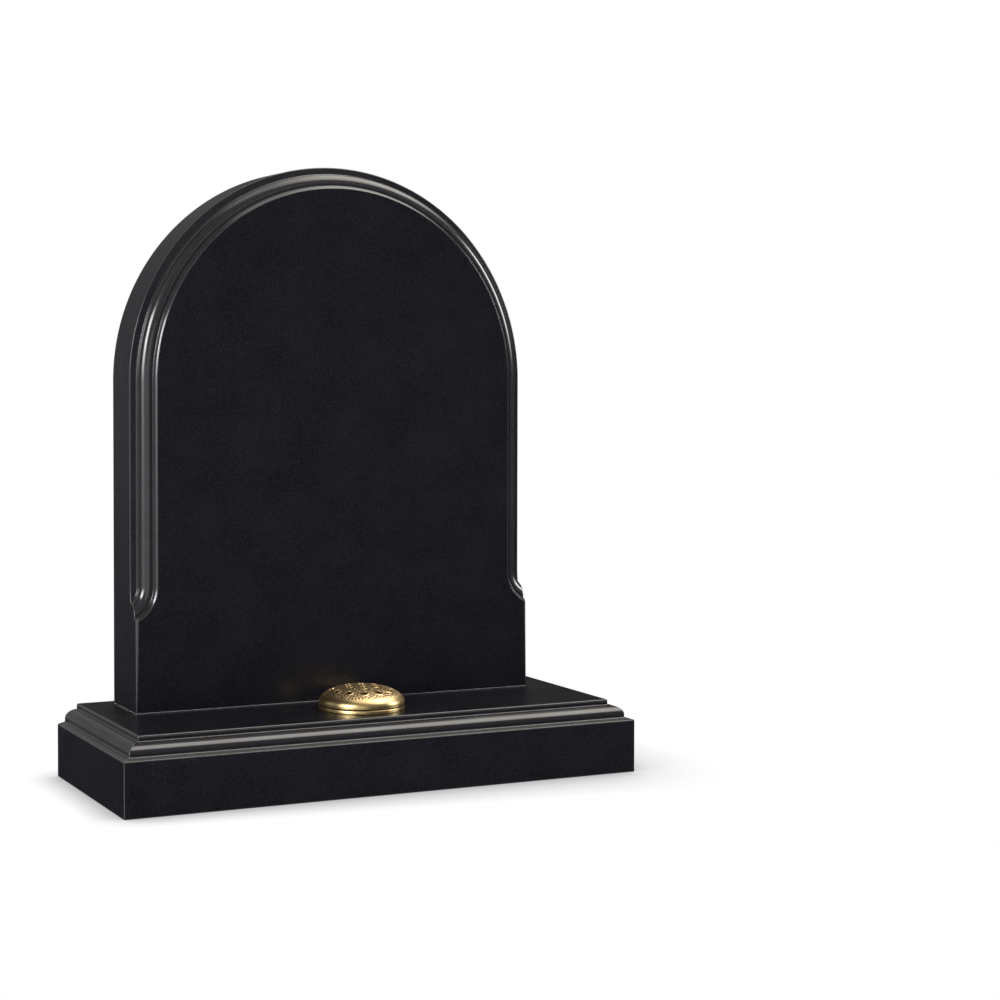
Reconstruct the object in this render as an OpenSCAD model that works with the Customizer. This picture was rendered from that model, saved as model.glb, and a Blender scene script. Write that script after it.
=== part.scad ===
// Round-topped granite headstone on a moulded base, with a flower container
// let into the ledge in front of it. The lid lifts out of the container.
// Millimetres. +Z up, front towards -Y, origin at the middle of the underside.

/* [Tablet] */
// Width of the tablet, side to side
tablet_w = 609.6; // [400:0.1:800]
// Height of the tablet above the base, to the top of its arch
tablet_h = 762; // [620:0.1:1200]
// Thickness of the tablet, front to back
tablet_t = 101.6; // [60:0.1:200]
// Height of the square foot below the tips of the moulding stops
foot_h = 130; // [20:1:250]
// Radius of the curve that ends the moulding, at the moulding's outer edge
run_out_r = 20; // [5:1:60]

/* [Base] */
// Height of the base
base_h = 101.6; // [84:0.1:200]
// How far the base stands out past each end of the tablet
base_end = 76.2; // [34:0.1:200]
// How far the base stands out in front of the tablet
base_front = 181.2; // [150:0.1:300]
// How far the base stands out behind the tablet
base_back = 22; // [0:0.5:100]

/* [Moulding] */
// Width of the whole moulding, from the outer edge to the face
mould_w = 28; // [24:0.1:34]
// Depth of the whole moulding, below the face
mould_d = 27.3; // [22:0.1:34]
// Width of the sloping shelf at the outer edge
shelf_w = 10.5; // [4:0.1:15]
// Rise of the shelf across its width
shelf_rise = 2.8; // [0:0.1:5]
// Height of the upright above the shelf
upright_h = 4.5; // [0.5:0.1:8]
// Depth of the square fillet beside the face
fillet_d = 7.9; // [3:0.1:10]

/* [Flower container] */
// Outer diameter of the cup let into the base
cup_dia = 96; // [70:0.1:120]
// Depth of the cup below the top of the base
cup_depth = 76; // [40:0.1:92]
// Width of the cup's flange, out past the cup
flange_w = 12; // [6:0.5:24]
// Height of the flange above the base
flange_h = 6; // [4:0.5:12]
// Thickness of the container's metal
cup_wall = 1.6; // [1:0.1:3]
// Height of the lid above the flange
lid_h = 27; // [20:0.5:40]
// Thickness of the lid's metal
lid_wall = 1.6; // [1:0.1:2.5]
// Height of the upright edge round the lid
lid_rim_h = 4; // [2:0.5:6]
// Diameter of each stem hole
stem_dia = 9; // [6:0.1:12]

/* [Hidden] */
$fn = 96;

granite = [0.11, 0.11, 0.12];
gold = [0.83, 0.69, 0.42];

// How far a cutter runs past the surface it cuts
over = 5;
// Flat strips that make up the moulding's quarter round, and the lid's curve
round_steps = 10;
dome_steps = 14;

// The base stands out round the tablet, and is centred on the origin
base_w = tablet_w + 2 * base_end;
base_d = base_front + tablet_t + base_back;
tablet_front_y = base_front - base_d / 2;
tablet_back_y = tablet_front_y + tablet_t;
// The arch is a half circle, so it springs this high
arch_r = tablet_w / 2;
spring_z = base_h + tablet_h - arch_r;
// The moulding turns outwards about an axis beside the tablet, level with stop_z.
// The corner of the face then reaches the tablet's side at foot_h above the base
run_out_x = arch_r + run_out_r;
run_out_h = sqrt(pow(run_out_r + mould_w, 2) - pow(run_out_r, 2));
stop_z = base_h + foot_h + run_out_h;

// The container stands in the middle of the flat ledge in front of the tablet
cup_y = (tablet_front_y - base_d / 2 + mould_w) / 2;
cup_clearance = 2;
cup_hole_dia = cup_dia + 2 * cup_clearance;
// Room left under the cup in its hole
cup_hole_depth = cup_depth + 3;
flange_edge = 1.2;
cup_inner_r = cup_dia / 2 - cup_wall;

// The lid is as wide as the flange, and drops into the cup by a short spigot
lid_z = base_h + flange_h;
lid_r = cup_dia / 2 + flange_w;
spigot_clearance = 0.6;
spigot_r = cup_inner_r - spigot_clearance;
spigot_h = 8;
dome_h = lid_h - lid_rim_h;

// Stem holes: rings of [number of holes, radius as a share of the lid's]
stem_rings = [[1, 0], [6, 0.35], [12, 0.68]];
// Turn of the rings about the lid's axis
stem_turn = 11;

// Points of a moulded edge from its outer side in to the face, as
// [distance in from the outer edge, distance below the face]
function moulding() = let (
    top_d = mould_d - shelf_rise - upright_h,
    round_w = mould_w - shelf_w,
    round_h = top_d - fillet_d
  ) [
    [0, mould_d],
    [shelf_w, mould_d - shelf_rise],
    for (i = [0 : round_steps]) let (a = 90 * i / round_steps)
      [shelf_w + round_w * (1 - cos(a)), top_d - round_h * sin(a)],
    [mould_w, 0]
  ];

// The same points with the outer edge at position edge and the face at level
// face, run inwards from the right-hand side
function edge_right(edge, face) = [for (p = moulding()) [edge - p[0], face - p[1]]];
// The mirror image about the axis, in the order that goes on round the outline
function edge_left(edge, face) = let (m = edge_right(edge, face))
  [for (i = [len(m) - 1 : -1 : 0]) [-m[i][0], m[i][1]]];

// Block that carries the tablet, its top edge moulded on the front and ends
module base() {
  color(granite) difference() {
    intersection() {
      translate([0, base_d / 2, 0]) rotate([90, 0, 0])
        linear_extrude(base_d) base_end_section();
      translate([-base_w / 2, 0, 0]) rotate([90, 0, 90])
        linear_extrude(base_w) base_side_section();
    }
    translate([0, cup_y, base_h - cup_hole_depth])
      cylinder(d = cup_hole_dia, h = cup_hole_depth + over);
  }
}

// Section across the width: moulded at both ends
module base_end_section() {
  polygon(concat(
    [[-base_w / 2, 0], [base_w / 2, 0]],
    edge_right(base_w / 2, base_h),
    edge_left(base_w / 2, base_h)
  ));
}

// Section across the depth: moulded at the front, square at the back
module base_side_section() {
  polygon(concat(
    [[base_d / 2, base_h], [base_d / 2, 0], [-base_d / 2, 0]],
    [for (p = moulding()) [-base_d / 2 + p[0], base_h - p[1]]]
  ));
}

// Round-topped slab, moulded round the front of its arch and down its sides
module tablet() {
  color(granite) {
    translate([0, tablet_back_y, spring_z]) rotate([90, 0, 0])
      rotate_extrude(angle = 180, $fn = 180) arch_section();
    translate([0, tablet_back_y, stop_z]) mirror([0, 1, 0])
      linear_extrude(spring_z - stop_z) shaft_section();
    tablet_foot();
  }
}

// Half section of the arch, from its axis to its outer edge
module arch_section() {
  polygon(concat([[0, tablet_t], [0, 0], [arch_r, 0]], edge_right(arch_r, tablet_t)));
}

// Section across the moulded part of the tablet, its back at 0
module shaft_section() {
  polygon(concat(
    [[-arch_r, 0], [arch_r, 0]],
    edge_right(arch_r, tablet_t),
    edge_left(arch_r, tablet_t)
  ));
}

// Square foot with the two run-outs of the moulding cut into its upper corners
module tablet_foot() {
  difference() {
    translate([-arch_r, tablet_front_y, base_h])
      cube([tablet_w, tablet_t, stop_z - base_h]);
    run_out();
    mirror([1, 0, 0]) run_out();
  }
}

// The moulding's cut, swept downwards and outwards past the right-hand side
module run_out() {
  translate([run_out_x, tablet_front_y, stop_z]) rotate([90, 0, 0])
    rotate([0, 0, 180]) rotate_extrude(angle = 100, $fn = 96) run_out_section();
}

// What the moulding takes away, by distance from the run-out's axis
module run_out_section() {
  polygon(concat(
    [[run_out_r / 2, over], [run_out_r / 2, -mould_d]],
    [for (p = moulding()) [run_out_r + p[0], -p[1]]],
    [[run_out_r + mould_w, over]]
  ));
}

// Metal cup hung in the base's hole by its flange
module flower_container() {
  color(gold) translate([0, cup_y, base_h]) rotate_extrude() polygon([
    [0, -cup_depth],
    [cup_dia / 2, -cup_depth],
    [cup_dia / 2, 0],
    [lid_r - flange_edge, 0],
    [lid_r, flange_edge],
    [lid_r, flange_h - flange_edge],
    [lid_r - flange_edge, flange_h],
    [cup_inner_r, flange_h],
    [cup_inner_r, cup_wall - cup_depth],
    [0, cup_wall - cup_depth]
  ]);
}

// Domed lid pierced for flower stems, its spigot inside the cup's mouth
module container_lid() {
  color(gold) difference() {
    translate([0, cup_y, lid_z]) rotate_extrude() lid_section();
    translate([0, cup_y, lid_z]) rotate([0, 0, stem_turn]) stem_holes();
  }
}

// Height of the dome's outer curve at a distance from its axis
function dome_z(r) = lid_rim_h + dome_h * sqrt(max(0, 1 - pow(r / lid_r, 2)));
// Quarter ellipse from the rim to the axis, or back when the steps run down
function dome_curve(half_w, height, level, steps) = [
  for (i = steps) let (a = 90 * i / dome_steps) [half_w * cos(a), level + height * sin(a)]
];

// Half section of the lid: rim, dome, and the spigot below it
module lid_section() {
  in_r = lid_r - lid_wall;
  polygon(concat(
    [[spigot_r, -spigot_h], [spigot_r, 0], [lid_r, 0]],
    dome_curve(lid_r, dome_h, lid_rim_h, [0 : dome_steps]),
    dome_curve(in_r, dome_h - lid_wall, lid_rim_h, [dome_steps : -1 : 0]),
    [[in_r, lid_wall], [spigot_r - lid_wall, lid_wall], [spigot_r - lid_wall, -spigot_h]]
  ));
}

// One hole through the dome for every place in the rings, square to its curve
module stem_holes() {
  for (ring = stem_rings) for (i = [0 : ring[0] - 1]) {
    r = ring[1] * lid_r;
    slope = atan(dome_h * r / (lid_r * lid_r * sqrt(1 - pow(r / lid_r, 2))));
    rotate([0, 0, 360 * i / ring[0]]) translate([r, 0, dome_z(r)]) rotate([0, slope, 0])
      translate([0, 0, -stem_dia / 2 - lid_wall])
        cylinder(d = stem_dia, h = stem_dia + 2 * lid_wall, $fn = 48);
  }
}

base();
tablet();
flower_container();
container_lid();
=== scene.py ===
"""Round-topped headstone of polished black granite on a moulded base, with a gold
flower container let into the ledge in front of it.

The file is laid out as an add-on: every piece has its own operator, and its sizes and
finishes are settings in the sidebar. Metres, +Z up, the front towards -Y.
"""

import math

import bmesh
import bpy
import numpy as np
from bpy.props import FloatProperty, FloatVectorProperty, IntProperty, PointerProperty
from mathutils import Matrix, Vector
from mathutils.geometry import delaunay_2d_cdt


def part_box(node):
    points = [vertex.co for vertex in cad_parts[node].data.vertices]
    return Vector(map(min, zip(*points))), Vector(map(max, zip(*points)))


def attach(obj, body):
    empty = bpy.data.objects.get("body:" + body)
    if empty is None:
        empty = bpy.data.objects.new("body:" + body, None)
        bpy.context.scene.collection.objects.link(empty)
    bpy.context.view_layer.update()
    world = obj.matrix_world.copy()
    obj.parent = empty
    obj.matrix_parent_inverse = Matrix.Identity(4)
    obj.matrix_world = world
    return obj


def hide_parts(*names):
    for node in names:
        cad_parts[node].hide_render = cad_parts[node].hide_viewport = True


bl_info = {
    "name": "Round-topped Headstone",
    "version": (1, 0, 0),
    "blender": (4, 5, 0),
    "location": "3D View > Sidebar > Headstone",
    "description": "Builds a granite headstone with a flower container",
    "category": "Add Mesh",
}

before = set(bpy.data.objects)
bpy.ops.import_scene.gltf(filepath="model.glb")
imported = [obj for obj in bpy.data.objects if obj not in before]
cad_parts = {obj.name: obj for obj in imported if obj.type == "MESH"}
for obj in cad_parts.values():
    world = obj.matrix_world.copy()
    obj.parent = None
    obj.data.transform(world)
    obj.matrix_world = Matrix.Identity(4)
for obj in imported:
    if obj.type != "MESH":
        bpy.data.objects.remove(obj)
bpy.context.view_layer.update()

BODY = "root"
BASE_LOW, BASE_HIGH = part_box("base")
TABLET_LOW, TABLET_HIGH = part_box("tablet")
CUP_LOW, CUP_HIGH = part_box("flower_container")
LID_LOW, LID_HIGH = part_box("container_lid")

MM = 0.001
# Points closer than this are one point
WELD = 5e-6
# Sides of the round hole under the cup
HOLE_STEPS = 96
# The angle above which an edge stays sharp
SHARP_ANGLE = math.radians(35)
# Steps round each rounded arris, the share of its turn done at each, and the wear: 0 at
# both its sides and 1 in its middle
ARRIS_STEPS = 4
RAMP = np.linspace(0.0, 1.0, ARRIS_STEPS + 1)
BUMP = 4 * RAMP * (1 - RAMP)
# Round a block, anticlockwise from its front right corner: the wear of its corners, and
# what belongs to its front and to its back
CORNERS = np.tile(BUMP, 4)
FRONT = np.concatenate([1 - RAMP, 0 * RAMP, 0 * RAMP, RAMP])
BACK = np.concatenate([0 * RAMP, RAMP, 1 - RAMP, 0 * RAMP])


# --- Settings ---

def number(name, description, default, **more):
    """A number for a property group."""
    return FloatProperty(name=name, description=description, default=default, **more)


def length(name, description, default, low=0.0, high=2.0):
    """A length in metres."""
    return number(name, description, default, min=low, max=high, precision=4,
                  unit="LENGTH", subtype="DISTANCE")


def share(name, description, default):
    """A number from 0 to 1."""
    return number(name, description, default, min=0.0, max=1.0, subtype="FACTOR")


def angle(name, description, degrees):
    """An angle, given in degrees."""
    return number(name, description, math.radians(degrees), subtype="ANGLE")


def colour(name, description, default):
    """A linear colour."""
    return FloatVectorProperty(name=name, description=description, default=default,
                               size=3, min=0.0, max=1.0, subtype="COLOR")


class MouldingSettings(bpy.types.PropertyGroup):
    """The moulded edge that the base and the tablet share."""

    width: length("Width", "From the outer edge in to the face", 0.028)
    depth: length("Depth", "From the face down to the outer edge", 0.0273)
    shelf_width: length("Shelf Width", "Width of the sloping shelf", 0.0105)
    shelf_rise: length("Shelf Rise", "How far the shelf rises inwards", 0.0028)
    upright: length("Upright", "Height of the upright above the shelf", 0.0045)
    fillet: length("Fillet", "Depth of the square fillet beside the face", 0.0079)
    arris: length("Arris", "Size of the rubbed arris on every edge", 0.0014)
    cove: length("Cove", "Size of the rounding in the two inner corners", 0.0013)


class BaseSettings(bpy.types.PropertyGroup):
    """The block that carries the tablet."""

    width: length("Width", "Side to side", BASE_HIGH.x - BASE_LOW.x)
    depth: length("Depth", "Front to back", BASE_HIGH.y - BASE_LOW.y)
    height: length("Height", "From the ground to the ledge", BASE_HIGH.z)
    face_arris: length("Ledge Arris", "Size of the wider arris round the ledge", 0.0024)
    cup_clearance: length("Cup Clearance", "Room round the cup in its hole", 0.002)
    cup_room: length("Cup Room", "Room under the cup in its hole", 0.003)
    # Painted highlight on the front shelf: how pale and dull it is painted
    shelf_wear: share("Shelf Wear", "How dull the front shelf is", 0.75)


class TabletSettings(bpy.types.PropertyGroup):
    """The round-topped slab."""

    width: length("Width", "Side to side", TABLET_HIGH.x - TABLET_LOW.x)
    top: length("Top", "Height of the arch above the ground", TABLET_HIGH.z)
    front: length("Front", "Place of the front face", TABLET_LOW.y, -1.0)
    back: length("Back", "Place of the back face", TABLET_HIGH.y, -1.0)
    face_arris: length("Face Arris", "Size of the wide arris round the face", 0.0047)
    run_out: length("Run-out Radius", "Radius at the moulding's outer edge", 0.020)
    foot: length("Foot", "Height of the square foot above the base", 0.130)
    # Scales the pale lines of the tablet's moulding: rubbed wear, and the painted
    # highlight lines on them
    wear: share("Wear", "How far the moulding's lines are rubbed pale", 0.6)


class ContainerSettings(bpy.types.PropertyGroup):
    """The gold cup and its pierced lid."""

    radius: length("Radius", "Of the lid and the flange", LID_HIGH.x)
    centre: length("Centre", "Place of the axis", (LID_LOW.y + LID_HIGH.y) / 2, -1.0)
    cup_radius: length("Cup Radius", "Outside the cup", 0.048)
    wall: length("Wall", "Thickness of the metal", 0.0016)
    flange_edge: length("Flange Edge", "Rounding of the flange", 0.0022)
    lid_rim: length("Lid Rim", "Height of the lid's upright edge", 0.004)
    spigot: length("Spigot", "How far the lid reaches into the cup", 0.008)
    spigot_clearance: length("Spigot Clearance", "Room round the spigot", 0.0006)
    hole_radius: length("Hole Radius", "Of each stem hole", 0.0045)
    inner_ring: share("Inner Ring", "Radius of the inner holes in lid radii", 0.35)
    outer_ring: share("Outer Ring", "Radius of the outer holes in lid radii", 0.68)
    inner_count: IntProperty(name="Inner Holes", description="In the inner ring",
                             default=6, min=3, max=8)
    outer_count: IntProperty(name="Outer Holes", description="In the outer ring",
                             default=12, min=6, max=14)
    turn: angle("Turn", "Turn of the rings of holes", 11)
    crown: share("Textured Crown", "Radius of the textured top in lid radii", 0.93)
    bead: length("Bead", "Height of the raised bead round each hole", 0.0005)
    pebble: length("Pebble", "Height of the pebbled relief", 0.00026)
    pebble_size: length("Pebble Size", "Spacing of the pebbled relief", 0.0044)


class GraniteSettings(bpy.types.PropertyGroup):
    """Fine-grained black granite."""

    ground: colour("Ground", "Dark crystals", (0.0058, 0.0055, 0.0076))
    crystal: colour("Crystal", "Paler crystals", (0.0140, 0.0133, 0.0178))
    fleck: colour("Fleck", "Rare bright grains", (0.040, 0.038, 0.041))
    # The rubbed colour paints rubbed arrises pale, and also the painted highlight lines
    # along the mouldings and the front shelf
    rubbed: colour("Rubbed", "Arrises, where the polish stops", (0.082, 0.080, 0.078))
    # Pale colour at the tablet's foot: a bedding seam, also painted pale to stand in
    # for the highlight along the foot's arris
    joint: colour("Joint", "Bedding joint under the tablet", (0.75, 0.75, 0.77))
    sawn: colour("Rubbed Back", "Fine-rubbed hidden faces", (0.030, 0.030, 0.033))
    grain: length("Grain", "Size of the crystals", 0.0016)
    face_finish: share("Face Finish", "Roughness of the flat faces", 0.25)
    back_finish: share("Back Finish", "Roughness of the fine-rubbed back", 0.45)
    sheen: share("Reflection", "Strength of the flat faces' own reflection", 0.17)
    polish: share("Polish", "Roughness of the glassy polish on the mouldings", 0.09)


class GoldSettings(bpy.types.PropertyGroup):
    """Bright gold-coloured metal."""

    bright: colour("Bright", "Smooth bands and beads", (0.74, 0.55, 0.25))
    crown: colour("Crown", "Pebbled top", (0.84, 0.62, 0.33))
    # Also painted dark, as tarnish and painted shade, in the seam between lid and
    # flange
    recess: colour("Recess", "Tarnish between the pebbles", (0.17, 0.10, 0.055))
    polish: share("Polish", "Roughness of the smooth bands", 0.30)
    crown_roughness: share("Crown Roughness", "Roughness of the pebbled top", 0.36)


class StageSettings(bpy.types.PropertyGroup):
    """Camera, floor and light."""

    eye: FloatVectorProperty(name="Eye", description="Place of the camera", size=3,
                             default=(-1.1735, -2.6246, 0.5857), subtype="XYZ",
                             unit="LENGTH")
    yaw: angle("Yaw", "Turn to the right of +Y", 24.016)
    pitch: angle("Pitch", "Tilt downwards", 1.714)
    lens: number("Lens", "Focal length in millimetres", 73.21, unit="CAMERA")
    shift_x: number("Shift X", "Sideways shift", 0.1549)
    shift_y: number("Shift Y", "Upward shift", -0.0775)
    floor_size: length("Floor Size", "Side of the floor", 60.0, 1.0, 200.0)
    contact: length("Contact Shadow", "Width of the shadow at the foot", 0.14)
    overhead: number("Overhead", "Brightness of the top light", 4.8, min=0.0)
    side_light: number("Side Light", "Brightness of the panels at the sides", 17.0,
                       min=0.0)


# --- Shapes ---

def rounded(start, corner, end):
    """Points that round a corner: (1-s)^2 start + 2s(1-s) corner + s^2 end, with s from
    0 to 1. The three may be arrays of points; the steps then run along a new axis 0."""
    start, corner, end = (np.asarray(p, float) for p in (start, corner, end))
    s = RAMP.reshape((-1,) + (1,) * start.ndim)
    return (1 - s) ** 2 * start + 2 * s * (1 - s) * corner + s**2 * end


def along(points, distance):
    """Points at the given distances along a polyline, and its own running length."""
    steps = np.linalg.norm(np.diff(points, axis=0), axis=1)
    run = np.concatenate([[0.0], np.cumsum(steps)])
    found = [np.interp(distance, run, points[:, k]) for k in range(points.shape[1])]
    return np.stack(found, axis=-1), run


def sharp_moulding(m, fine=120):
    """The moulding before its arrises are rubbed, as (inset, depth) from the outer edge
    in to the face: a shelf, an upright, a quarter round (inset = shelf + w(1 - cos a),
    depth = top - h sin a) and a square fillet, with a small cove in both inner corners.
    Also returns the distances along it where each part ends."""
    top, c = m.depth - m.shelf_rise - m.upright, m.cove
    wide, high = m.width - m.shelf_width, top - m.fillet
    a = np.linspace(0.0, math.acos(c / wide), fine)
    quarter = np.stack([m.shelf_width + wide * (1 - np.cos(a)),
                        top - high * np.sin(a)], axis=-1)
    inner = np.array([m.shelf_width, m.depth - m.shelf_rise])
    start = inner * [1 - c / m.shelf_width, 1] + [0.0, m.shelf_rise * c / m.shelf_width]
    low = rounded(start, inner, inner - [0.0, c])
    high_cove = rounded(quarter[-1], (m.width, m.fillet), (m.width, m.fillet - c))
    shelf = np.linspace([0.0, m.depth], start, fine)[:-1]
    line = np.concatenate([shelf, low, quarter[:-1], high_cove, [[m.width, 0.0]]])
    run = along(line, 0.0)[1]
    cuts = [len(shelf), len(low) - 1, 1, len(quarter) - 1, len(high_cove) - 1]
    return line, np.append(run[np.cumsum(cuts)], run[-1])


class Profile:
    """Rows of the rubbed moulding from the face outwards: inset, depth, distance along
    the sharp moulding, and the masks. The arris at the face is wide, and runs from
    fully round to flat as flat_share goes from 0 to 1. The number after it is how pale
    the quarter round's lines may be: rubbed wear, and painted highlight lines."""

    # Paleness of the face arris rows, the fillet's edge and the coves; on the face
    # arris and the fillet's edge it is rubbed wear and also painted highlight lines
    FACE_WEAR, FILLET_WEAR, COVE_WEAR = (0.0, 0.8, 0.25, 0.25), 0.75, 0.45
    FACE_MOULDED = (0.0, 0.8, 1.0, 1.0)

    def __init__(self, m, wide, flat_share, streaks, shelf_rows=9, quarter_rows=16):
        self.arris = r = m.arris
        self.line, (shelf, low, quarter, high, fillet, face) = sharp_moulding(m)
        self.end = face
        # The rows on the shelf stand closer towards its outer edge
        slope = np.linspace(1.0, 0.0, shelf_rows + 1)[1:] ** 1.6
        steps = [[face - wide, (face - wide) * 0.8 + fillet * 0.2, fillet],
                 np.linspace(fillet, high, ARRIS_STEPS + 1)[1:],
                 np.linspace(high, quarter, quarter_rows + 1)[1:],
                 [(low + quarter) / 2, low],
                 np.linspace(low, shelf, ARRIS_STEPS + 1)[1:],
                 r + (shelf - r) * slope]
        middle = np.concatenate(steps)
        body = along(self.line, middle)[0]
        pull = wide * flat_share / 2
        face = rounded((m.width + wide, 0), (m.width + pull, pull), (m.width, wide))
        outer = rounded(body[-1], (0, m.depth), (0, m.depth + r))
        gap = np.full(ARRIS_STEPS, np.nan)
        self.distance = np.concatenate([gap, middle, gap])
        self.inset, self.depth = np.concatenate([face[:-1], body, outer[1:]]).T

        worn, whole = np.zeros(len(body)), np.ones(len(body))
        worn[0] = self.FILLET_WEAR
        first = len(steps[0]) + ARRIS_STEPS
        last = first + quarter_rows
        # Random pale streaks along the quarter round: rubbed wear, and painted
        # highlight lines
        worn[first:last] = np.random.default_rng(3).uniform(0.0, streaks, quarter_rows)
        for start in (2, last + 1):
            worn[start:start + ARRIS_STEPS + 1] = BUMP * self.COVE_WEAR
        self.rubbed = np.concatenate([self.FACE_WEAR, worn, BUMP[1:]])
        self.moulded = np.concatenate([self.FACE_MOULDED, whole, 1 - RAMP[1:]])
        # The last row before the outer arris starts, and the sloping shelf's own rows
        self.before_outer = ARRIS_STEPS + len(body) - 1
        self.shelf = np.zeros(len(self.inset))
        self.shelf[self.before_outer - shelf_rows - 1:self.before_outer + 1] = 1


def new_object(name, data):
    """A new object, linked to the scene."""
    made = bpy.data.objects.new(name, data)
    bpy.context.scene.collection.objects.link(made)
    return made


class Shell:
    """Gathers the surfaces of one piece, then welds them into one closed mesh."""

    MASKS = ("rubbed", "moulded", "plain", "joint", "relief", "crown", "tarnish")

    def __init__(self):
        self.points, self.faces, self.count = [], [], 0
        self.masks = {name: [] for name in self.MASKS}

    def add(self, points, **masks):
        """Adds points, and returns their numbers in the layout of the array."""
        points = np.asarray(points, float)
        layout = points.shape[:-1]
        for name in self.MASKS:
            value = np.broadcast_to(np.asarray(masks.get(name, 0.0), float), layout)
            self.masks[name].append(value.ravel())
        self.points.append(points.reshape(-1, 3))
        numbers = self.count + np.arange(self.points[-1].shape[0]).reshape(layout)
        self.count += numbers.size
        return numbers

    def grid(self, points, around=False, **masks):
        """Four-sided faces between neighbouring rows and columns of a grid of points.
        A grid that goes around joins its last column to its first."""
        n = self.add(points, **masks)
        if around:
            n = np.concatenate([n, n[:, :1]], axis=1)
        corners = [n[:-1, :-1], n[1:, :-1], n[1:, 1:], n[:-1, 1:]]
        self.faces.append(np.stack(corners, axis=-1).reshape(-1, 4))

    def cap(self, outline, **masks):
        """One flat face inside an outline."""
        self.faces.append(self.add(outline, **masks)[None, :])

    def triangles(self, points, corners, **masks):
        """Triangles given as rows of three point numbers."""
        self.faces.append(self.add(points, **masks)[np.asarray(corners)])

    def build(self, name, closed=True):
        """Makes the object: merges points that meet, and turns the faces outwards."""
        mesh = bpy.data.meshes.new(name)
        faces = [face for block in self.faces for face in block.tolist()]
        mesh.from_pydata(np.concatenate(self.points).tolist(), [], faces)
        for mask, values in self.masks.items():
            layer = mesh.attributes.new(mask, "FLOAT", "POINT")
            layer.data.foreach_set("value", np.concatenate(values).astype(np.float32))
        bm = bmesh.new()
        bm.from_mesh(mesh)
        bmesh.ops.remove_doubles(bm, verts=bm.verts, dist=WELD)
        bmesh.ops.dissolve_degenerate(bm, edges=bm.edges, dist=WELD / 5)
        bmesh.ops.recalc_face_normals(bm, faces=bm.faces)
        gaps = sum(1 for edge in bm.edges if not edge.is_manifold)
        bm.to_mesh(mesh)
        bm.free()
        if closed and gaps:
            raise RuntimeError(f"{name} isn't closed: {gaps} open edges")
        mesh.shade_smooth()
        mesh.set_sharp_from_angle(angle=SHARP_ANGLE)
        return new_object(name, mesh)


def even_shading(piece):
    """Shades a piece by its largest faces, so that flats stay flat beside an arris."""
    modifier = piece.modifiers.new("Even Shading", "WEIGHTED_NORMAL")
    modifier.mode = "FACE_AREA"
    modifier.keep_sharp = True


def plan_corners():
    """The four corners of a rectangle, anticlockwise from the front right, each as a
    rounded unit quarter: (1-s)^2 a + 2s(1-s)(a+b) + s^2 b."""
    a = np.array([[0, -1], [1, 0], [0, 1], [-1, 0]], float)
    b = np.roll(a, -1, axis=0)
    return np.swapaxes(rounded(a, a + b, b), 0, 1)


def block_rows(low, high, r, front, back, shrink, level):
    """Outlines of a block at a run of levels. Each is the rectangle from low to high,
    moved in by front (on the front and ends) and by back, with its corners rounded by
    r; shrink from 0 to 1 draws each rounded corner in to its own centre."""
    front, back, shrink, level = (
        np.broadcast_to(v, np.shape(level)).astype(float)
        for v in (front, back, shrink, level)
    )
    left, right = low[0] + front + r, high[0] - front - r
    near, far = low[1] + front + r, high[1] - back - r
    centre = np.array([[right, right, left, left], [near, far, far, near]])
    outline = r * (1 - shrink)[:, None, None, None] * plan_corners()
    outline = (centre.T[:, :, None] + outline).reshape(len(level), -1, 2)
    z = np.broadcast_to(level[:, None, None], outline.shape[:2] + (1,))
    return np.concatenate([outline, z], axis=-1)


def foot_rows(r, bottom):
    """The arris under a block: (inward share, level) rows of a rounded corner."""
    rows = rounded((0.0, bottom + r), (0.0, bottom), (r, bottom))
    return rows[:, 0] / r, rows[:, 1]


def polar(radius, angle):
    """Plan points from their distance and direction: (radius cos a, radius sin a)."""
    return np.stack(np.broadcast_arrays(radius * np.cos(angle), radius * np.sin(angle)),
                    axis=-1)


def turned(profile, centre, count=160):
    """A profile of (radius, height) points turned about an upright axis at centre, the
    axis's place behind the origin."""
    profile = np.asarray(profile, float)
    a = np.linspace(0, 2 * math.pi, count, endpoint=False)
    plan = polar(profile[:, :1], a) + [0.0, centre]
    height = np.broadcast_to(profile[:, 1:, None], plan.shape[:2] + (1,))
    return np.concatenate([plan, height], axis=-1)


def fill_region(points, loops):
    """Triangles between plan points by constrained Delaunay triangulation. The loops
    are lists of point numbers whose edges are kept: the outline and every hole."""
    edges = np.concatenate([np.stack([loop, np.roll(loop, -1)], axis=-1)
                            for loop in loops])
    found = delaunay_2d_cdt([Vector(p) for p in points[:, :2].tolist()],
                            edges.tolist(), [], 1, 1e-9)
    if len(found[0]) != len(points):
        raise RuntimeError("the triangulation moved or merged points")
    order = np.array([source[0] for source in found[3]])
    return order[np.array([face for face in found[2] if len(face) == 3])]


# --- Base ---

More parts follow.
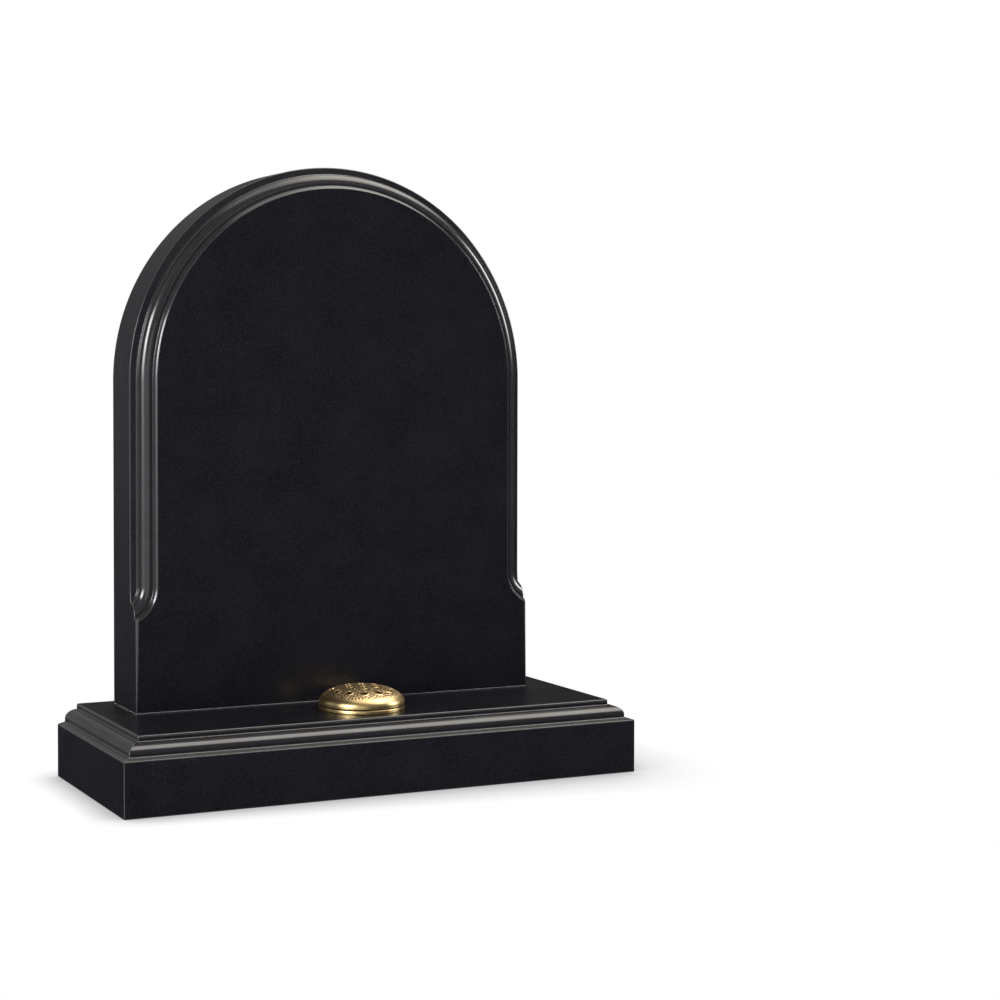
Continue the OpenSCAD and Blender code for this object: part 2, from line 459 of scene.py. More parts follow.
def base_shell(b, m, c):
    """The base: outlines of a block carried up the moulded section, a ledge with a
    round hole, and the hole's wall and floor."""
    shell, rows = Shell(), Profile(m, b.face_arris, flat_share=0.0, streaks=0.12)
    r, w, h = m.arris, b.width / 2, b.height
    low, high = (-w, -b.depth / 2), (w, b.depth / 2)

    shrink = np.clip((rows.inset - m.width) / b.face_arris, 0, 1)
    beyond = np.maximum(rows.inset - m.width - shrink * r, 0)
    level = block_rows(low, high, r, np.minimum(rows.inset, m.width) + beyond, beyond,
                       shrink, h - rows.depth)
    corners = CORNERS * (shrink < 1)[:, None]
    rubbed = np.maximum(rows.rubbed[:, None], corners)
    # The front shelf is painted paler and duller than on the ends: a painted highlight
    # where the front shelf catches the light
    rubbed = np.maximum(rubbed, b.shelf_wear * rows.shelf[:, None] * FRONT)
    # The back is flat, so below its top arris it is as clean as the other faces
    rubbed[ARRIS_STEPS:] = np.maximum(rubbed * (1 - BACK), CORNERS)[ARRIS_STEPS:]
    shell.grid(level, around=True, rubbed=rubbed,
               moulded=rows.moulded[:, None] * (1 - BACK))

    inward, z = foot_rows(r, 0.0)
    foot = block_rows(low, high, r, 0.0, 0.0, inward, z)
    corners = CORNERS * np.append(1.0, inward < 1)[:, None]
    shell.grid(np.concatenate([level[-1:], foot]), around=True,
               rubbed=np.maximum(np.append(0.0, BUMP)[:, None], corners),
               plain=np.append(0.0, RAMP)[:, None])
    shell.cap(foot[-1], plain=1.0)

    hole = c.cup_radius + b.cup_clearance
    wall = turned([[hole, h], [hole, CUP_LOW.z - b.cup_room]], c.centre, HOLE_STEPS)
    points = np.concatenate([level[0, ::ARRIS_STEPS + 1], wall[0]])
    corners = fill_region(points, [np.arange(4), 4 + np.arange(HOLE_STEPS)])
    middle = points[corners].mean(axis=1)
    outside = np.hypot(middle[:, 0], middle[:, 1] - c.centre) > hole * 0.999
    shell.triangles(points, corners[outside])
    shell.grid(wall, around=True, plain=[[0.0], [1.0]])
    shell.cap(wall[1], plain=1.0)
    return shell


# --- Tablet ---

def run_out_edge(rows, m, run_out):
    """Where the moulding's run-out meets the tablet's side. The moulding turns about an
    axis at run_out beyond the side, so a point at inset u, distance p = run_out + u
    from the axis, reaches the side at the angle acos(run_out / p). Returns, for each
    row of the profile between its two arrises, the angle where the arris starts (the
    edge moved back by the arris size, square to itself, on the unrolled surface), the
    edge's own (drop, depth), and the arris's other side (the edge moved square to
    itself in the plane of the side)."""
    r, fine = rows.arris, 900
    line, _ = along(rows.line, np.linspace(0.0, rows.end - 1e-9, fine))
    run = np.linspace(0.0, rows.end, fine)
    p = run_out + line[:, 0]
    angle = np.arccos(np.clip(run_out / p, -1, 1))
    edge = np.stack([-np.sqrt(np.maximum(p**2 - run_out**2, 0)), line[:, 1]], axis=-1)

    along_run, across = np.diff(run), p[:-1] * np.diff(angle)
    size = np.hypot(along_run, across)
    moved = run[:-1] + r * across / size
    start = angle[:-1] - r * along_run / size / p[:-1]
    turn = np.diff(edge, axis=0)
    turn /= np.maximum(np.linalg.norm(turn, axis=1), 1e-12)[:, None]
    side = edge[:-1] + r * np.stack([turn[:, 1], -turn[:, 0]], axis=-1)

    moved = np.maximum.accumulate(moved) + 1e-12 * np.arange(fine - 1)
    at = rows.distance[ARRIS_STEPS:rows.before_outer + 1]
    table = np.concatenate([start[:, None], edge[:-1], side], axis=1)
    found = np.stack([np.interp(at, moved, column) for column in table.T], axis=-1)
    start, edge, side = found[:, 0], found[:, 1:3], found[:, 3:5]
    # The last row is where the arris leaves the straight moulding
    start[-1], edge[-1], side[-1] = 0.0, (0.0, m.depth), (0.0, m.depth + r)
    return np.maximum(start, 0.0), edge, side


def tablet_shell(t, m, base_top, side_rows=9, arch_steps=240, stop_steps=16):
    """The tablet: the moulded edge carried up one side, round the half-circle arch and
    down the other, run out through the sides above a square foot."""
    shell, rows = Shell(), Profile(m, t.face_arris, flat_share=0.76, streaks=0.6)
    # Scales the pale lines: rubbed wear, and painted highlight lines
    rows.rubbed *= t.wear
    r, half, thick = m.arris, t.width / 2, t.back - t.front
    spring = t.top - half
    tip = math.sqrt((t.run_out + m.width) ** 2 - t.run_out**2)
    stop = base_top + t.foot + tip

    # The moulded edge, the outer surface and the back arris, along the whole way round
    back = rounded((0, thick - r), (0, thick), (r, thick))
    inset = np.concatenate([rows.inset, back[:, 0]])
    depth = np.concatenate([rows.depth, back[:, 1]])
    masks = {
        "rubbed": np.concatenate([rows.rubbed, BUMP])[:, None],
        "moulded": np.concatenate([rows.moulded, 0 * BUMP])[:, None],
        "plain": np.concatenate([0 * rows.rubbed, RAMP])[:, None],
    }
    rise = np.linspace(stop, spring, side_rows)
    turn = np.linspace(math.pi, 0.0, arch_steps + 1)[1:-1]
    angle = np.concatenate([np.full(side_rows, math.pi), turn, np.zeros(side_rows)])
    centre = np.concatenate([rise, np.full(turn.size, spring), rise[::-1]])

    def ring(u, d):
        """Points at insets u and depths d: x = (half - u) cos a, and z the centre's
        height + (half - u) sin a."""
        reach = half - u[:, None]
        y = np.broadcast_to(t.front + d[:, None], (u.size, angle.size))
        return np.stack([reach * np.cos(angle), y, centre + reach * np.sin(angle)], -1)

    shell.grid(ring(inset, depth), **masks)
    face, rear = ring(inset[:1], depth[:1])[0], ring(inset[-1:], depth[-1:])[0]

    foot_z = base_top + r
    start, edge, side_edge = run_out_edge(rows, m, t.run_out)
    fronts, backs = [], []
    for sign in (-1.0, 1.0):
        def place(x, y, z, sign=sign):
            """A point by its distance in from the side, behind the face, and height."""
            return np.stack(np.broadcast_arrays(sign * (half - x), t.front + y, z), -1)

        # Rows of the face arris, then every row down to the outer arris
        s = RAMP[:-1]
        near = np.cos(start[0]) * (t.run_out + m.width) - t.run_out
        gap = (1 - s) * t.face_arris + s * near
        reach = t.run_out + rows.inset[:ARRIS_STEPS]
        begin = np.concatenate([np.arccos((t.run_out + gap) / reach), start])
        u = rows.inset[:rows.before_outer + 1]
        d = rows.depth[:rows.before_outer + 1]
        theta = begin[:, None] * np.linspace(0.0, 1.0, stop_steps + 1)
        p = (t.run_out + u)[:, None]
        stopped = place(p * np.cos(theta) - t.run_out, d[:, None],
                        stop - p * np.sin(theta))

        level = stop - reach[0] * math.sin(begin[0])
        head = (1 - s) * level + s * (stop + edge[0, 0])
        sharp = place(0.0, np.concatenate([s * t.face_arris, edge[:, 1]]),
                      np.concatenate([head, stop + edge[:, 0]]))
        far = np.concatenate([np.tile(side_edge[:1], (ARRIS_STEPS, 1)), side_edge])
        far = place(0.0, far[:, 1], stop + far[:, 0])
        arris = np.swapaxes(rounded(stopped[:, -1], sharp, far), 0, 1)

        rubbed, moulded = rows.rubbed[:u.size, None], rows.moulded[:u.size, None]
        shell.grid(stopped, rubbed=rubbed, moulded=moulded)
        shell.grid(arris, rubbed=np.maximum(rubbed * (1 - RAMP), BUMP),
                   moulded=moulded * (1 - RAMP))

        # The foot's front arris, the back arris and the side between them
        lower = rounded(place(r, 0.0, foot_z), place(0.0, 0.0, foot_z),
                        place(0.0, r, foot_z))
        shell.grid(np.stack([arris[0], lower]), rubbed=BUMP)
        behind = np.stack([place(back[:, 0], back[:, 1], z) for z in (stop, foot_z)])
        shell.grid(behind, rubbed=BUMP, plain=RAMP)
        side_outline = np.concatenate([arris[ARRIS_STEPS:, -1][::-1],
                                       lower[-1:], behind[::-1, 0]])
        shell.cap(side_outline)

        fronts.append(np.concatenate([stopped[0, 1:], lower[:1]]))
        backs.append(behind[1:, -1])
    shell.cap(np.concatenate([fronts[0][::-1], face, fronts[1]]))
    shell.cap(np.concatenate([backs[0][::-1], rear, backs[1]]), plain=1.0)

    inward, z = foot_rows(r, base_top)
    foot = block_rows((-half, t.front), (half, t.back), r, 0.0, 0.0, inward, z)
    corners = CORNERS * (inward < 1)[:, None]
    # The back, like the underside, has the plainer finish
    shell.grid(foot, around=True, rubbed=np.maximum(corners, BUMP[:, None]),
               plain=np.maximum(BACK, RAMP[:, None]),
               # The pale line along the foot's arris: bedding seam and painted
               # highlight
               joint=np.minimum(1.0, 2 * RAMP)[:, None])
    shell.cap(foot[-1], plain=1.0)
    return shell


# --- Flower container ---

def cup_shell(c):
    """The cup and its flange: one closed section turned about the axis."""
    shell = Shell()
    bottom, seat, top = CUP_LOW.z, BASE_HIGH.z, CUP_HIGH.z
    inner, e, f = c.cup_radius - c.wall, c.flange_edge, 4 * c.wall
    profile = np.concatenate([
        [[0.0, bottom]],
        rounded((c.cup_radius - f, bottom), (c.cup_radius, bottom),
                (c.cup_radius, bottom + f)),
        [[c.cup_radius, seat]],
        rounded((c.radius - e / 2, seat), (c.radius, seat), (c.radius, seat + e / 2)),
        rounded((c.radius, top - e), (c.radius, top), (c.radius - e, top)),
        rounded((inner + e / 2, top), (inner, top), (inner, top - e / 2)),
        rounded((inner, bottom + f), (inner, bottom + c.wall),
                (inner - f, bottom + c.wall)),
        [[0.0, bottom + c.wall]],
    ])
    # Tarnish and painted shade in the seam under the lid
    tarnish = np.exp(-((profile[:, 1] - top) / (0.7 * MM)) ** 2)
    tarnish *= profile[:, 0] > c.radius - 2 * e
    shell.grid(turned(profile, c.centre), around=True, tarnish=tarnish[:, None])
    return shell


def dome_rise(c):
    """Height of the lid's curve above its upright edge."""
    return LID_HIGH.z - LID_LOW.z - c.spigot - c.lid_rim


def dome_height(radius, c):
    """The lid's outer curve: rim + rise sqrt(1 - (radius / lid radius)^2)."""
    inside = np.maximum(0.0, 1 - (radius / c.radius) ** 2)
    return CUP_HIGH.z + c.lid_rim + dome_rise(c) * np.sqrt(inside)


def dome_normal(x, y, c):
    """The outward direction on the lid's curve, from its slope in each direction."""
    root = np.sqrt(np.maximum(1e-6, 1 - (np.hypot(x, y) / c.radius) ** 2))
    slope = dome_rise(c) / (c.radius**2 * root)
    normal = np.stack([slope * x, slope * y, np.ones_like(x)], axis=-1)
    return normal / np.linalg.norm(normal, axis=-1, keepdims=True)


def hole_places(c):
    """The middle of every stem hole in plan, and how much its slope shortens it."""
    rings = [(1, 0.0), (c.inner_count, c.inner_ring), (c.outer_count, c.outer_ring)]
    radius = np.concatenate([np.full(n, s * c.radius) for n, s in rings])
    angle = c.turn + np.concatenate([2 * math.pi * np.arange(n) / n for n, _ in rings])
    return polar(radius, angle), angle, dome_normal(radius, 0 * radius, c)[:, 2]


def hole_distance(x, y, c):
    """Distance from every point to every hole's middle, measured on the slope: the
    part along the slope is divided by the slope's cosine."""
    place, angle, cosine = hole_places(c)
    dx, dy = x[:, None] - place[:, 0], y[:, None] - place[:, 1]
    down = (dx * np.cos(angle) + dy * np.sin(angle)) / cosine
    return np.hypot(down, -dx * np.sin(angle) + dy * np.cos(angle))


def pebbles(x, y, size, seed=7, waves=9):
    """Even, random-looking relief from 0 to 1: the mean of plane waves of one length,
    turned evenly through half a circle, each with its own phase."""
    random = np.random.default_rng(seed)
    a = np.pi * (np.arange(waves) + random.uniform(-0.3, 0.3, waves)) / waves
    phase = random.uniform(0, 2 * np.pi, waves)
    k = 2 * np.pi / size
    wave = np.cos(k * (x[:, None] * np.cos(a) + y[:, None] * np.sin(a)) + phase)
    return np.clip(0.5 + wave.sum(axis=1) / (2.2 * math.sqrt(waves)), 0, 1)


def lid_shell(c):
    """The lid's outer skin: a triangulated crown with stem holes, then the smooth band,
    the seat and the spigot turned about the axis. Solidify gives it its wall."""
    shell = Shell()
    crown, around, spacing = c.crown * c.radius, 288, 0.00062
    bead_width = 0.0015
    place, angle, cosine = hole_places(c)

    # Rings of points about every hole, drawn in along the slope
    offsets = np.array([0, 0.2, 0.45, 0.75, 1.05, 1.4, 1.8]) * MM
    count = 40
    t = np.linspace(0, 2 * math.pi, count, endpoint=False)
    reach = (c.hole_radius + offsets)[:, None, None]
    down = reach * np.cos(t)[:, None] * cosine
    side = reach * np.sin(t)[:, None]
    ring_x = place[:, 0] + down * np.cos(angle) - side * np.sin(angle)
    ring_y = place[:, 1] + down * np.sin(angle) + side * np.cos(angle)
    rings = np.stack([ring_x, ring_y], axis=-1)  # offset, step, hole, xy
    edges = np.transpose(rings[0], (1, 0, 2)).reshape(-1, 2)
    beads = rings[1:].reshape(-1, 2)

    # Evenly spaced points on circles over the rest of the crown
    circles = np.arange(spacing, crown - spacing / 2, spacing)
    counts = np.maximum(6, np.round(2 * np.pi * circles / spacing)).astype(int)
    radius = np.repeat(circles, counts)
    step = np.arange(radius.size) - np.repeat(np.cumsum(counts) - counts, counts)
    turn = 2 * np.pi * step / np.repeat(counts, counts) + 2.4 * radius / spacing
    field = polar(radius, turn)
    clear = hole_distance(field[:, 0], field[:, 1], c).min(axis=1)
    field = field[clear > c.hole_radius + offsets[-1] + spacing * 0.6]
    rim = polar(crown, np.linspace(0, 2 * math.pi, around, endpoint=False))

    plan = np.concatenate([rim, edges, beads, field])
    loops = [np.arange(around)]
    loops += [around + count * i + np.arange(count) for i in range(len(place))]
    corners = fill_region(plan, loops)
    middle = plan[corners].mean(axis=1)
    clear = hole_distance(middle[:, 0], middle[:, 1], c).min(axis=1)
    corners = corners[clear > c.hole_radius * 0.995]

    x, y = plan[:, 0], plan[:, 1]
    clear = hole_distance(x, y, c).min(axis=1) - c.hole_radius
    bead = np.clip(1 - ((clear - 0.3 * bead_width) / (0.7 * bead_width)) ** 2, 0, 1)
    fade = np.clip((crown - np.hypot(x, y)) / (4 * MM), 0, 1)
    fade *= np.clip((clear - bead_width) / (2.5 * MM), 0, 1)
    pebble = pebbles(x, y, c.pebble_size)
    height = c.bead * bead + c.pebble * fade * (2 * pebble - 1)
    dome = np.stack([x, y, dome_height(np.hypot(x, y), c)], axis=-1)
    dome += height[:, None] * dome_normal(x, y, c)
    dome[:, 1] += c.centre
    shell.triangles(dome, corners, crown=np.where(bead > 0, 1 - 0.7 * bead, fade**0.5),
                    relief=np.where(fade > 0, 1 - fade * (1 - pebble), 1.0))

    seat, spigot = CUP_HIGH.z, c.cup_radius - c.wall - c.spigot_clearance
    edge = 1.5 * MM
    a = np.linspace(math.acos(c.crown), 0.0, 26)
    profile = np.concatenate([
        polar(1.0, a) * [c.radius, dome_rise(c)] + [0.0, seat + c.lid_rim],
        rounded((c.radius, seat + edge), (c.radius, seat), (c.radius - edge, seat)),
        rounded((spigot + edge / 2, seat), (spigot, seat), (spigot, seat - edge / 2)),
        [[spigot, LID_LOW.z]],
    ])
    # Tarnish and painted shade in the seam above the flange
    tarnish = np.exp(-((profile[:, 1] - seat) / (0.8 * MM)) ** 2)
    shell.grid(turned(profile, c.centre, around), around=True, relief=1.0,
               tarnish=tarnish[:, None])
    return shell


# --- Materials ---

class Nodes:
    """A short way to place and join shader nodes in one tree."""

    def __init__(self, tree):
        self.tree = tree
        self.column = 0

    def add(self, kind, values=None, **settings):
        """A node of that kind, with its settings and its socket values or links."""
        node = self.tree.nodes.new(kind)
        node.location = (220 * self.column, 0)
        self.column += 1
        for name, value in settings.items():
            setattr(node, name, value)
        for key, value in (values or {}).items():
            socket = node.inputs[key]
            if isinstance(value, bpy.types.NodeSocket):
                self.tree.links.new(value, socket)
            else:
                socket.default_value = value
        return node

    def math(self, operation, a, b=0.0, clamp=False):
        """One number from two."""
        node = self.add("ShaderNodeMath", {0: a, 1: b}, operation=operation,
                        use_clamp=clamp)
        return node.outputs[0]

    def times(self, a, b, clamp=False):
        """The product of two numbers."""
        return self.math("MULTIPLY", a, b, clamp)

    def spread(self, value, low, high, to_low=0.0, to_high=1.0, **settings):
        """value mapped from one range to another, and held inside it."""
        node = self.add("ShaderNodeMapRange", {
            "Value": value, "From Min": low, "From Max": high,
            "To Min": to_low, "To Max": to_high}, **settings)
        return node.outputs["Result"]

    def blend(self, factor, a, b):
        """A colour between a and b, each a socket or a colour setting."""
        a, b = (v if isinstance(v, bpy.types.NodeSocket) else rgba(v) for v in (a, b))
        return self.add("ShaderNodeMix", {0: factor, 6: a, 7: b},
                        data_type="RGBA").outputs[2]

    def noise(self, vector, scale, detail, roughness, distortion=0.0):
        """The value of a fractal noise."""
        node = self.add("ShaderNodeTexNoise", {
            "Vector": vector, "Scale": scale, "Detail": detail,
            "Roughness": roughness, "Distortion": distortion})
        return node.outputs["Fac"]

    def mask(self, name):
        """The value of one of the piece's own attributes."""
        return self.add("ShaderNodeAttribute", attribute_name=name).outputs["Fac"]


def rgba(value):
    """A colour setting as four numbers."""
    return (*value, 1.0)


def node_group(n, name, given, outputs, fill):
    """Places the node group of that name in a tree, and returns its outputs. The group
    is built once: fill works out its named outputs from a vector and one number."""
    groups = bpy.data.node_groups
    if name not in groups:
        group = groups.new(name, "ShaderNodeTree")
        sockets = [(label, "INPUT") for label in given]
        sockets += [(label, "OUTPUT") for label in outputs]
        for label, way in sockets:
            kind = "NodeSocketVector" if label == "Vector" else "NodeSocketFloat"
            group.interface.new_socket(label, in_out=way, socket_type=kind)
        inner = Nodes(group)
        sources = inner.add("NodeGroupInput").outputs
        inner.add("NodeGroupOutput", dict(zip(outputs, fill(inner, *sources[:2]))))
    return n.add("ShaderNodeGroup", given, node_tree=groups[name]).outputs


def stone_grain(n, vector, density):
    """Crystals, slow cloudiness, rare bright grains and the height of the grain."""
    cells = n.add("ShaderNodeTexVoronoi", {"Vector": vector, "Scale": density})
    tone = n.add("ShaderNodeSeparateColor", {"Color": cells.outputs["Color"]})
    patch = n.noise(vector, n.times(density, 0.45), 3.0, 0.6)
    cloud = n.noise(vector, n.times(density, 0.03), 4.0, 0.55)
    crystals = n.times(tone.outputs["Red"], n.spread(patch, 0.38, 0.66))
    flecks = n.times(n.spread(tone.outputs["Green"], 0.965, 1.0),
                     n.spread(cells.outputs["Distance"], 0.45, 0.15))
    return crystals, n.spread(cloud, 0.3, 0.7), flecks, patch


def handling(n, vector, size):
    """Faint smears from handling, and fine dust from the weather."""
    smear = n.noise(vector, size, 5.0, 0.62, 0.6)
    dust = n.noise(vector, n.times(size, 45.0), 2.0, 0.7)
    return n.spread(smear, 0.35, 0.7), n.spread(dust, 0.5, 0.75)


def surface_effects(n, place, density, size):
    """The two shared node groups, placed with a material's own grain and smears."""
    grain = node_group(n, "Stone Grain", {"Vector": place, "Density": density},
                       ("Crystals", "Cloud", "Flecks", "Height"), stone_grain)
    wear = node_group(n, "Handling", {"Vector": place, "Size": size},
                      ("Smears", "Dust"), handling)
    return grain, wear


def new_material(name):
    """A material with an empty tree, that tree's nodes and its object coordinates."""
    material = bpy.data.materials.new(name)
    material.use_nodes = True
    material.node_tree.nodes.clear()
    nodes = Nodes(material.node_tree)
    place = nodes.add("ShaderNodeTexCoord").outputs["Object"]
    return material, nodes, place


def finish_material(nodes, shader_values, height, strength, distance):
    """Adds the surface shader with a bump from height, and the output."""
    bump = nodes.add("ShaderNodeBump", {
        "Height": height, "Strength": strength, "Distance": distance})
    shader = nodes.add("ShaderNodeBsdfPrincipled",
                       {**shader_values, "Normal": bump.outputs["Normal"]})
    nodes.add("ShaderNodeOutputMaterial", {"Surface": shader.outputs["BSDF"]})


def granite_material(g):
    """Black granite: honed on its faces, glassy in the mouldings, pale where arrises
    are rubbed and along painted highlight lines (mouldings, front shelf, the tablet's
    foot), and fine-rubbed where the plain mask says that a face is hidden."""
    name = "Black Granite"
    if name in bpy.data.materials:
        return bpy.data.materials[name]
    material, n, place = new_material(name)
    grain, wear = surface_effects(n, place, 1 / g.grain, 7.0)
    plain = n.mask("plain")

    cloud = n.times(grain["Cloud"], 0.35)
    tone = n.math("ADD", grain["Crystals"], cloud, clamp=True)
    stone = n.blend(tone, g.ground, g.crystal)
    stone = n.blend(grain["Flecks"], stone, g.fleck)
    back = n.times(plain, n.spread(grain["Crystals"], 0.0, 1.0, 0.75, 1.0))
    stone = n.blend(back, stone, g.sawn)
    # Pale rubbed colour: rubbed arrises, and painted highlight lines
    rubbed = n.times(n.mask("rubbed"), n.spread(wear["Dust"], 0.0, 1.0, 1.0, 0.45))
    stone = n.blend(rubbed, stone, g.rubbed)
    # Pale line at the tablet's foot: bedding seam and painted highlight
    stone = n.blend(n.mask("joint"), stone, g.joint)

    smears = n.spread(wear["Smears"], 0.0, 1.0, g.face_finish, g.face_finish + 0.07)
    rough = n.math("MAXIMUM", smears, n.times(plain, g.back_finish))
    coat = n.times(n.mask("moulded"), n.spread(wear["Smears"], 0.0, 1.0, 1.0, 0.8))
    coat = n.times(coat, n.spread(rubbed, 0.0, 1.0, 1.0, 0.7))
    values = {"Base Color": stone, "Roughness": rough, "IOR": 1.5,
              "Specular IOR Level": g.sheen, "Coat Weight": coat,
              "Coat Roughness": g.polish, "Coat IOR": 1.55}
    finish_material(n, values, grain["Height"], 0.03, 0.0002)
    return material


def gold_material(g):
    """Gold-coloured metal: bright on the smooth bands, grainy and tarnished between the
    pebbles of the crown, with tarnish and painted shade in the seam between lid and
    flange."""
    name = "Gold Metal"
    if name in bpy.data.materials:
        return bpy.data.materials[name]
    material, n, place = new_material(name)
    grain, wear = surface_effects(n, place, 1400.0, 34.0)

    crown = n.mask("crown")
    metal = n.blend(crown, g.bright, g.crown)
    low = n.times(n.spread(n.mask("relief"), 0.60, 0.26), crown)
    metal = n.blend(n.times(low, 0.85), metal, g.recess)
    # Tarnish and painted shade in the seam between lid and flange
    stain = n.times(n.mask("tarnish"), n.spread(wear["Dust"], 0.0, 1.0, 1.4, 0.7), True)
    metal = n.blend(stain, metal, g.recess)
    smear = n.times(wear["Smears"], 0.07)
    rough = n.math("ADD", n.spread(crown, 0.0, 1.0, g.polish, g.crown_roughness), smear)
    finish_material(n, {"Base Color": metal, "Metallic": 1.0, "Roughness": rough},
                    n.times(grain["Crystals"], crown), 0.35, 0.0003)
    return material


# --- Operators ---

def finish_piece(piece, node, material):
    """Puts a piece on its body, in place of its construction solid."""
    piece.data.materials.append(material)
    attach(piece, BODY)
    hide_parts(node)


class HEADSTONE_OT_base(bpy.types.Operator):
    """Make the moulded base"""

    bl_idname = "headstone.base"
    bl_label = "Base"

    def execute(self, context):
        s = context.scene
        shell = base_shell(s.stone_base, s.stone_moulding, s.stone_container)
        piece = shell.build("moulded_base")
        even_shading(piece)
        finish_piece(piece, "base", granite_material(s.stone_granite))
        return {"FINISHED"}


class HEADSTONE_OT_tablet(bpy.types.Operator):
    """Make the round-topped tablet"""

    bl_idname = "headstone.tablet"
    bl_label = "Tablet"

    def execute(self, context):
        s = context.scene
        shell = tablet_shell(s.stone_tablet, s.stone_moulding, s.stone_base.height)
        piece = shell.build("round_topped_tablet")
        even_shading(piece)
        finish_piece(piece, "tablet", granite_material(s.stone_granite))
        return {"FINISHED"}


class HEADSTONE_OT_container(bpy.types.Operator):
    """Make the flower container's cup and its pierced lid"""

    bl_idname = "headstone.container"
    bl_label = "Flower Container"

    def execute(self, context):
        s = context.scene
        c, gold = s.stone_container, gold_material(s.stone_gold)
        cup = cup_shell(c).build("flanged_cup")
        finish_piece(cup, "flower_container", gold)
        lid = lid_shell(c).build("pierced_lid", closed=False)
        wall = lid.modifiers.new("Wall", "SOLIDIFY")
        wall.thickness = c.wall
        wall.offset = -1.0
        wall.use_even_offset = True
        wall.use_quality_normals = True
        finish_piece(lid, "container_lid", gold)
        return {"FINISHED"}


def floor_material(contact):
    """White floor that glows evenly, with a painted contact shadow: ambient occlusion
    darkens its glow where something stands close by.
    """
    material, n, place = new_material("White Floor")
    side = n.add("ShaderNodeSeparateXYZ", {"Vector": place}).outputs["X"]
    # Painted shadow: the occlusion reaches further towards +X, so the painted contact
    # shadow falls wider on that side
    reach = n.spread(side, -0.42, 0.42, contact * 0.35, contact)
    near = n.add("ShaderNodeAmbientOcclusion", {"Distance": reach}, samples=24)
    shader = n.add("ShaderNodeEmission", {"Strength": near.outputs["AO"]})
    n.add("ShaderNodeOutputMaterial", {"Surface": shader.outputs["Emission"]})
    return material


def build_world(overhead, side_light):
    """White behind the object. What the stone reflects is a dark room with a wide soft
    light overhead, a fainter one high at the back, and a lit panel at either side."""
    world = bpy.data.worlds.new("Studio")
    world.use_nodes = True
    tree = world.node_tree
    tree.nodes.clear()
    n = Nodes(tree)
    toward = n.add("ShaderNodeTexCoord").outputs["Generated"]
    parts = n.add("ShaderNodeSeparateXYZ", {"Vector": toward})

    def soft(value, low, high, strength=1.0):
        """0 below low, strength above high, and a smooth step between."""
        return n.spread(value, low, high, 0.0, strength,
                        interpolation_type="SMOOTHSTEP")

    def dot(direction):
        """How far each direction points along another."""
        unit = Vector(direction).normalized()
        return n.add("ShaderNodeVectorMath", {0: toward, 1: unit},
                     operation="DOT_PRODUCT").outputs["Value"]

    def panel(direction, wide, rise, fall, strength, edge):
        """A lit panel round one level direction, wide across, with soft edges. Its
        light comes in over the heights in rise, and goes out over those in fall."""
        middle = Vector((*direction, 0.0)).normalized()
        across = n.math("ABSOLUTE", dot((-middle.y, middle.x, 0.0)))
        sides = soft(across, wide + edge, wide - edge)
        front = soft(dot(middle), 0.1, 0.3)
        return n.times(n.times(sides, front),
                       n.times(soft(z, *rise), soft(z, *fall, strength)))

    x, y, z = (parts.outputs[axis] for axis in "XYZ")
    right = n.spread(x, 0.05, 0.36, 0.35, 1.0)
    lean = n.spread(y, 0.05, 0.42, 1.0, 0.12)
    top = n.times(soft(dot((0.3, 0.0, 0.9)), 0.74, 0.91, overhead), lean)
    back = n.times(soft(z, 0.27, 0.58, 1.4), soft(y, 0.25, 0.6))
    back = n.times(back, soft(x, 0.47, 0.42))
    warm = n.times(n.math("ADD", top, back), right)
    side = side_light
    panels = (((-0.84, -0.54), 0.45, (-0.3, -0.2), (0.20, 0.0), 0.9, 0.05),
              ((-0.88, -0.47), 0.20, (-0.08, 0.26), (0.46, 0.36), side, 0.05),
              ((-0.34, -0.94), 0.10, (-0.3, -0.2), (0.25, 0.15), 1.3, 0.03),
              ((0.955, -0.295), 0.13, (0.02, 0.20), (0.48, 0.38), side * 0.7, 0.04),
              ((-0.30, 0.95), 0.50, (-0.22, 0.02), (0.44, 0.24), 0.20, 0.10),
              ((-0.15, -1.0), 0.60, (0.15, 0.40), (0.85, 0.65), 0.17, 0.15),
              ((0.15, -0.99), 0.32, (-0.4, -0.1), (0.50, 0.20), 0.075, 0.15))
    # The room itself is nearly black
    cool = 0.02
    for settings in panels:
        cool = n.math("ADD", cool, panel(*settings))

    def glow(colour, strength):
        """Light of one colour from every side."""
        return n.add("ShaderNodeBackground", {
            "Color": rgba(colour), "Strength": strength}).outputs[0]

    room = n.add("ShaderNodeAddShader", {0: glow((1.0, 0.955, 0.89), warm),
                                         1: glow((0.98, 0.98, 1.0), cool)})
    seen = n.add("ShaderNodeLightPath").outputs["Is Camera Ray"]
    mixed = n.add("ShaderNodeMixShader", {0: seen, 1: room.outputs[0],
                                          2: glow((1, 1, 1), 1.0)})
    n.add("ShaderNodeOutputWorld", {"Surface": mixed.outputs[0]})
    return world


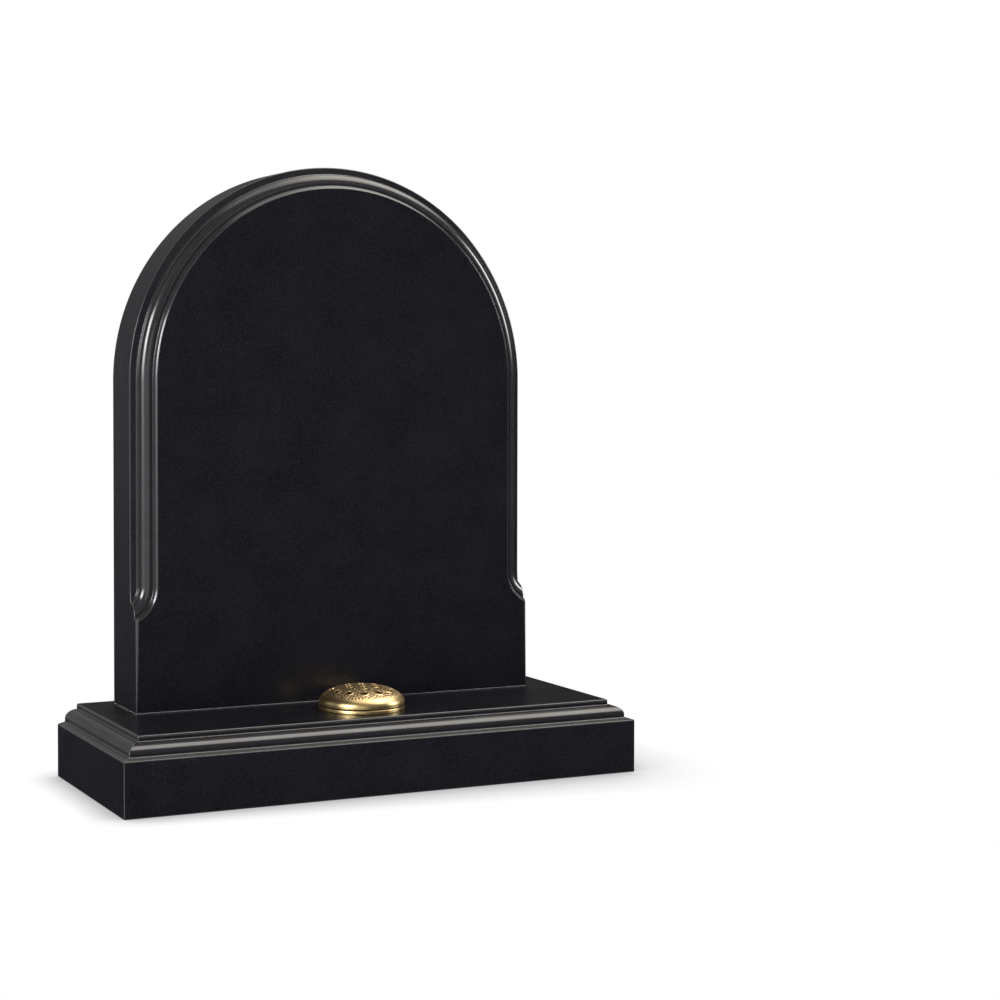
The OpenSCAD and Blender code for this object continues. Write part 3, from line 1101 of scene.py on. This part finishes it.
class HEADSTONE_OT_stage(bpy.types.Operator):
    """Make the floor, the light and the camera"""

    bl_idname = "headstone.stage"
    bl_label = "Stage"

    def execute(self, context):
        scene, s = context.scene, context.scene.stone_stage
        side = s.floor_size / 2
        corners = [(-side, -side, 0), (side, -side, 0), (side, side, 0),
                   (-side, side, 0)]
        mesh = bpy.data.meshes.new("floor")
        mesh.from_pydata(corners, [], [(0, 1, 2, 3)])
        mesh.materials.append(floor_material(s.contact))
        floor = new_object("floor", mesh)
        floor.visible_glossy = False

        scene.world = build_world(s.overhead, s.side_light)
        scene.view_settings.view_transform = "Standard"

        data = bpy.data.cameras.new("camera")
        data.lens, data.sensor_width = s.lens, 36.0
        data.shift_x, data.shift_y = s.shift_x, s.shift_y
        data.clip_end = 200.0
        camera = new_object("camera", data)
        camera.location = s.eye
        camera.rotation_euler = (math.pi / 2 - s.pitch, 0.0, -s.yaw)
        scene.camera = camera
        return {"FINISHED"}


class HEADSTONE_PT_panel(bpy.types.Panel):
    """Settings and buttons for every part of the headstone"""

    bl_idname = "HEADSTONE_PT_panel"
    bl_label = "Headstone"
    bl_space_type = "VIEW_3D"
    bl_region_type = "UI"
    bl_category = "Headstone"

    def draw(self, context):
        for operator, names in STEPS:
            box = self.layout.box()
            box.operator(operator.bl_idname)
            for name in names:
                group = getattr(context.scene, name)
                for key in group.bl_rna.properties.keys():
                    if key not in ("rna_type", "name"):
                        box.prop(group, key)


SETTINGS = {
    "stone_moulding": MouldingSettings,
    "stone_base": BaseSettings,
    "stone_tablet": TabletSettings,
    "stone_container": ContainerSettings,
    "stone_granite": GraniteSettings,
    "stone_gold": GoldSettings,
    "stone_stage": StageSettings,
}
STEPS = (
    (HEADSTONE_OT_base, ("stone_base", "stone_moulding", "stone_granite")),
    (HEADSTONE_OT_tablet, ("stone_tablet",)),
    (HEADSTONE_OT_container, ("stone_container", "stone_gold")),
    (HEADSTONE_OT_stage, ("stone_stage",)),
)
CLASSES = (*SETTINGS.values(), *(step[0] for step in STEPS), HEADSTONE_PT_panel)


def register():
    """Registers every class and hangs the settings on the scene."""
    for cls in CLASSES:
        bpy.utils.register_class(cls)
    for name, group in SETTINGS.items():
        setattr(bpy.types.Scene, name, PointerProperty(type=group))


def unregister():
    """Takes the settings and the classes away again."""
    for name in SETTINGS:
        delattr(bpy.types.Scene, name)
    for cls in reversed(CLASSES):
        bpy.utils.unregister_class(cls)


def main():
    """Makes every part in order."""
    register()
    bpy.ops.headstone.base()
    bpy.ops.headstone.tablet()
    bpy.ops.headstone.container()
    bpy.ops.headstone.stage()


if __name__ == "__main__":
    main()
